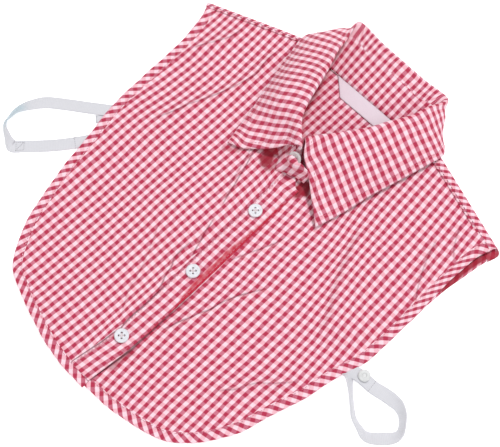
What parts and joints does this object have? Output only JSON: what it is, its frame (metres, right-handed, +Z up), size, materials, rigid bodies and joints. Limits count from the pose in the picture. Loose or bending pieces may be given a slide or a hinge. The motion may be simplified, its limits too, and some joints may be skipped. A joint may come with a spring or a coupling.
{
  "type": "dickey",
  "caption": "Detachable shirt-collar bib in red and white gingham, buttoned down the front and laid flat, with bias-bound edges and elastic side straps.",
  "frame": {"origin": "on the surface it lies on, below the middle of its footprint", "axes": "+Z up out of the front, +Y from the hem towards the collar, +X towards the wearer's left side"},
  "size_m": [0.4098, 0.3762, 0.0371],
  "materials": {
    "gingham": "red and white gingham cotton, plain weave",
    "binding": "the same gingham cut on the bias, topstitched",
    "label": "smooth woven ribbon, pinkish white",
    "button": "white shirt button",
    "elastic": "white knitted elastic",
    "clear_button": "milky translucent plastic"
  },
  "bodies": {
    "root": {"back_panel": "gingham", "back_binding": "binding", "front_panel_right": "gingham", "front_panel_left": "gingham", "front_binding_right": "binding", "front_binding_left": "binding", "button_placket": "gingham", "collar_stand": "gingham", "collar_leaf": "gingham", "neck_label": "label", "button_top": "button", "button_middle": "button", "button_bottom": "button", "collar_button": "button", "strap_right": "elastic", "strap_left": "elastic", "strap_button": "clear_button"}
  },
  "joints": []
}
